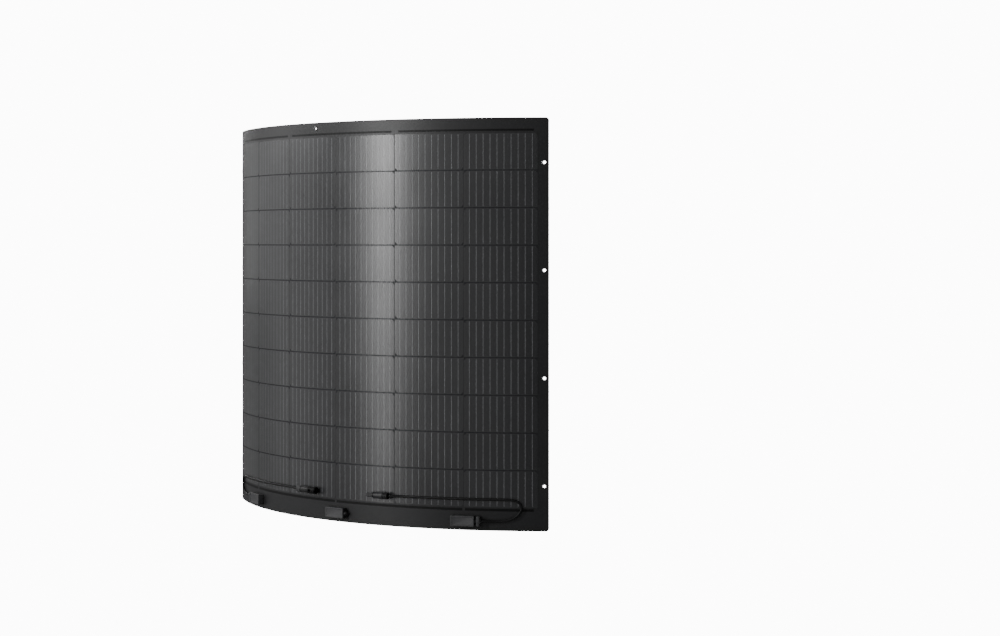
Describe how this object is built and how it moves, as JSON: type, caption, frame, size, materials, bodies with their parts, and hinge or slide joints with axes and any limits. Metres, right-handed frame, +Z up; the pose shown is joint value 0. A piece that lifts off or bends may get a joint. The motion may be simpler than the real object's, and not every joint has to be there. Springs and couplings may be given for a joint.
{
  "type": "flexible solar sheet",
  "caption": "Thin flexible solar laminate bowed about an upright axis, with cell columns, low junction boxes, looped leads with connectors, and eyelets along its edges.",
  "frame": {"origin": "middle of the object's box on the surface it stands on, at the sheet's lower edge", "axes": "+X along the sheet's width, to the right seen from the sunny side, +Y towards the hollow rear side, +Z up the sheet"},
  "size_m": [1.0706, 0.2092, 1.01],
  "materials": {
    "backing": "fine woven black rear skin over a glass fibre board",
    "cell": "dark monocrystalline silicon with tinned wires",
    "film": "clear textured fluoropolymer film over black encapsulant",
    "box": "charcoal moulded plastic",
    "clamp": "charcoal moulded plastic, satin",
    "diode": "black epoxy and tinned copper",
    "lead": "black sheathed lead, satin",
    "connector": "dark grey moulded plastic",
    "nut": "black moulded plastic",
    "contact": "tinned copper",
    "seal": "red-brown silicone",
    "eyelet": "black lacquered brass",
    "pad": "black foam"
  },
  "bodies": {
    "strip_01": {"backing_1": "backing", "cell_string_1": "cell", "front_film_1": "film", "eyelets_left": "eyelet"},
    "strip_02": {"backing_2": "backing", "cell_string_2": "cell", "front_film_2": "film", "box_base_left": "box", "box_lid_left": "box", "bypass_diode_left": "diode", "cable_clamp_left": "clamp", "lead_left": "lead"},
    "strip_03": {"backing_3": "backing", "cell_string_3": "cell", "front_film_3": "film"},
    "strip_04": {"backing_4": "backing", "cell_string_4": "cell", "front_film_4": "film"},
    "strip_05": {"backing_5": "backing", "cell_string_5": "cell", "front_film_5": "film", "connector_body_left": "connector", "connector_nut_left": "nut", "connector_contact_left": "contact", "connector_seal_left": "seal", "lead_pads_left": "pad", "eyelet_upper": "eyelet"},
    "strip_06": {"backing_6": "backing", "cell_string_6": "cell", "front_film_6": "film", "box_base_middle": "box", "box_lid_middle": "box", "bypass_diode_middle": "diode", "blanking_plug": "nut"},
    "strip_07": {"backing_7": "backing", "cell_string_7": "cell", "front_film_7": "film", "connector_body_right": "connector", "connector_nut_right": "nut", "connector_contact_right": "contact", "connector_seal_right": "seal", "lead_pads_right": "pad"},
    "strip_08": {"backing_8": "backing", "cell_string_8": "cell", "front_film_8": "film"},
    "strip_09": {"backing_9": "backing", "cell_string_9": "cell", "front_film_9": "film"},
    "strip_10": {"backing_10": "backing", "cell_string_10": "cell", "front_film_10": "film", "box_base_right": "box", "box_lid_right": "box", "bypass_diode_right": "diode", "cable_clamp_right": "clamp", "lead_right": "lead"},
    "strip_11": {"backing_11": "backing", "cell_string_11": "cell", "front_film_11": "film", "eyelets_right": "eyelet"}
  },
  "joints": [
    {"name": "bend", "type": "hinge", "parent": "strip_06", "child": "strip_07", "pos_m": [0.07479, -0.08236, 0.505], "axis": [0, 0, 1], "range_deg": [-7.55, 8.5]},
    {"name": "bend_left_1", "type": "hinge", "parent": "strip_06", "child": "strip_05", "pos_m": [-0.03993, -0.08472, 0.505], "axis": [0, 0, 1], "range_deg": [-8.33, 7.4], "deforming": ["lead_left"]},
    {"name": "bend_left_2", "type": "hinge", "parent": "strip_05", "child": "strip_04", "pos_m": [-0.1431, -0.07352, 0.505], "axis": [0, 0, 1], "range_deg": [-7, 6.22], "deforming": ["lead_left"]},
    {"name": "bend_left_3", "type": "hinge", "parent": "strip_04", "child": "strip_03", "pos_m": [-0.22109, -0.05638, 0.505], "axis": [0, 0, 1], "range_deg": [-6.33, 5.63], "deforming": ["lead_left"]},
    {"name": "bend_left_4", "type": "hinge", "parent": "strip_03", "child": "strip_02", "pos_m": [-0.3032, -0.02969, 0.505], "axis": [0, 0, 1], "range_deg": [-8.97, 7.97], "deforming": ["lead_left"]},
    {"name": "bend_left_5", "type": "hinge", "parent": "strip_02", "child": "strip_01", "pos_m": [-0.43726, 0.03556, 0.505], "axis": [0, 0, 1], "range_deg": [-10.2, 9.07], "deforming": ["lead_left"]},
    {"name": "bend_right_2", "type": "hinge", "parent": "strip_07", "child": "strip_08", "pos_m": [0.1823, -0.06586, 0.505], "axis": [0, 0, 1], "range_deg": [-6.22, 7], "deforming": ["lead_right"]},
    {"name": "bend_right_3", "type": "hinge", "parent": "strip_08", "child": "strip_09", "pos_m": [0.25464, -0.04659, 0.505], "axis": [0, 0, 1], "range_deg": [-4.87, 5.48], "deforming": ["lead_right"]},
    {"name": "bend_right_4", "type": "hinge", "parent": "strip_09", "child": "strip_10", "pos_m": [0.31946, -0.02328, 0.505], "axis": [0, 0, 1], "range_deg": [-6.79, 7.64], "deforming": ["lead_right"]},
    {"name": "bend_right_5", "type": "hinge", "parent": "strip_10", "child": "strip_11", "pos_m": [0.43726, 0.03556, 0.505], "axis": [0, 0, 1], "range_deg": [-8.47, 9.54], "deforming": ["lead_right"]}
  ],
  "couplings": [
    {"joint": "bend_left_5", "follows": "bend", "ratio": -1.1987},
    {"joint": "bend_left_4", "follows": "bend", "ratio": -1.0536},
    {"joint": "bend_left_3", "follows": "bend", "ratio": -0.7433},
    {"joint": "bend_left_2", "follows": "bend", "ratio": -0.8214},
    {"joint": "bend_left_1", "follows": "bend", "ratio": -0.9777},
    {"joint": "bend_right_2", "follows": "bend", "ratio": 0.8214},
    {"joint": "bend_right_3", "follows": "bend", "ratio": 0.6429},
    {"joint": "bend_right_4", "follows": "bend", "ratio": 0.8973},
    {"joint": "bend_right_5", "follows": "bend", "ratio": 1.1205}
  ]
}
